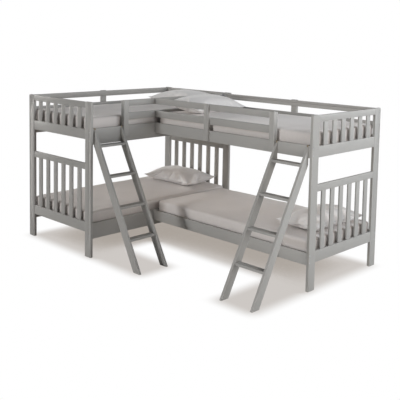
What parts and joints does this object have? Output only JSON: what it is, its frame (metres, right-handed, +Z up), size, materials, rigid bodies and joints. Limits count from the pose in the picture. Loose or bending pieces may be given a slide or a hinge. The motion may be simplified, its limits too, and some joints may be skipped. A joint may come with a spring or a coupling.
{
  "type": "l shaped bunk bed",
  "caption": "Grey painted wooden bunk bed in an L shape, slatted end panels, guard rails, leaning ladders, mattresses and pillows.",
  "frame": {"origin": "on the floor, under the middle of the whole bed's box", "axes": "+Z up; +X along the right wing toward its end panel; +Y from the left wing's front panel toward the shared back"},
  "size_m": [3.076, 2.009, 1.5524],
  "materials": {
    "painted_wood": "satin warm grey paint over solid pine",
    "bare_pine": "sanded bare pine",
    "zinc_steel": "zinc plated",
    "hook_brass": "yellow passivated plate",
    "sheet": "smooth cotton cover, pale warm grey",
    "pillowcase": "smooth cotton, pale warm grey"
  },
  "bodies": {
    "frame": {"left_front_posts": "painted_wood", "left_front_rails": "painted_wood", "left_front_bottom_rail": "painted_wood", "left_front_slats": "painted_wood", "left_back_posts": "painted_wood", "left_back_rails": "painted_wood", "left_back_bottom_rail": "painted_wood", "left_back_slats": "painted_wood", "right_end_posts": "painted_wood", "right_end_rails": "painted_wood", "right_end_bottom_rail": "painted_wood", "right_end_slats": "painted_wood", "left_upper_outer_rail": "painted_wood", "left_upper_inner_rail": "painted_wood", "left_lower_outer_rail": "painted_wood", "left_lower_inner_rail": "painted_wood", "right_upper_front_rail": "painted_wood", "right_upper_back_rail": "painted_wood", "right_lower_front_rail": "painted_wood", "right_lower_back_rail": "painted_wood", "left_upper_ledgers": "bare_pine", "left_lower_ledgers": "bare_pine", "right_upper_ledgers": "bare_pine", "right_lower_ledgers": "bare_pine", "left_upper_bed_slats": "bare_pine", "left_lower_bed_slats": "bare_pine", "right_upper_bed_slats": "bare_pine", "right_lower_bed_slats": "bare_pine", "outer_guard_rails": "painted_wood", "outer_guard_upright": "painted_wood", "back_guard_rails": "painted_wood", "back_guard_upright": "painted_wood", "inner_guard_rails": "painted_wood", "inner_guard_stile": "painted_wood", "inner_guard_board": "painted_wood", "front_guard_rails": "painted_wood", "front_guard_stile": "painted_wood", "front_guard_mid_board": "painted_wood", "front_guard_end_board": "painted_wood", "bolts": "zinc_steel", "barrel_nuts": "zinc_steel", "corner_brackets": "zinc_steel"},
    "left_ladder": {"left_ladder_stringers": "painted_wood", "left_ladder_rungs": "painted_wood", "left_ladder_hooks": "hook_brass"},
    "right_ladder": {"right_ladder_stringers": "painted_wood", "right_ladder_rungs": "painted_wood", "right_ladder_hooks": "hook_brass"},
    "left_upper_mattress_body": {"left_upper_mattress": "sheet"},
    "left_upper_pillow_body": {"left_upper_pillow": "pillowcase"},
    "left_lower_mattress_body": {"left_lower_mattress": "sheet"},
    "left_lower_pillow_body": {"left_lower_pillow": "pillowcase"},
    "right_upper_mattress_body": {"right_upper_mattress": "sheet"},
    "right_upper_pillow_body": {"right_upper_pillow": "pillowcase"},
    "right_lower_mattress_body": {"right_lower_mattress": "sheet"},
    "right_lower_pillow_body": {"right_lower_pillow": "pillowcase"}
  },
  "joints": [
    {"name": "left_ladder_lift_off", "type": "slide", "parent": "frame", "child": "left_ladder", "axis": [0, 0, 1], "range_m": [0, 0.15]},
    {"name": "right_ladder_lift_off", "type": "slide", "parent": "frame", "child": "right_ladder", "axis": [0, 0, 1], "range_m": [0, 0.15]},
    {"name": "left_upper_mattress_lift", "type": "slide", "parent": "frame", "child": "left_upper_mattress_body", "axis": [0, 0, 1], "range_m": [0, 0.12]},
    {"name": "left_upper_pillow_lift", "type": "slide", "parent": "left_upper_mattress_body", "child": "left_upper_pillow_body", "axis": [0, 0, 1], "range_m": [0, 0.2]},
    {"name": "left_lower_mattress_lift", "type": "slide", "parent": "frame", "child": "left_lower_mattress_body", "axis": [0, 0, 1], "range_m": [0, 0.12]},
    {"name": "left_lower_pillow_lift", "type": "slide", "parent": "left_lower_mattress_body", "child": "left_lower_pillow_body", "axis": [0, 0, 1], "range_m": [0, 0.2]},
    {"name": "right_upper_mattress_lift", "type": "slide", "parent": "frame", "child": "right_upper_mattress_body", "axis": [0, 0, 1], "range_m": [0, 0.12]},
    {"name": "right_upper_pillow_lift", "type": "slide", "parent": "right_upper_mattress_body", "child": "right_upper_pillow_body", "axis": [0, 0, 1], "range_m": [0, 0.2]},
    {"name": "right_lower_mattress_lift", "type": "slide", "parent": "frame", "child": "right_lower_mattress_body", "axis": [0, 0, 1], "range_m": [0, 0.12]},
    {"name": "right_lower_pillow_lift", "type": "slide", "parent": "right_lower_mattress_body", "child": "right_lower_pillow_body", "axis": [0, 0, 1], "range_m": [0, 0.2]}
  ]
}
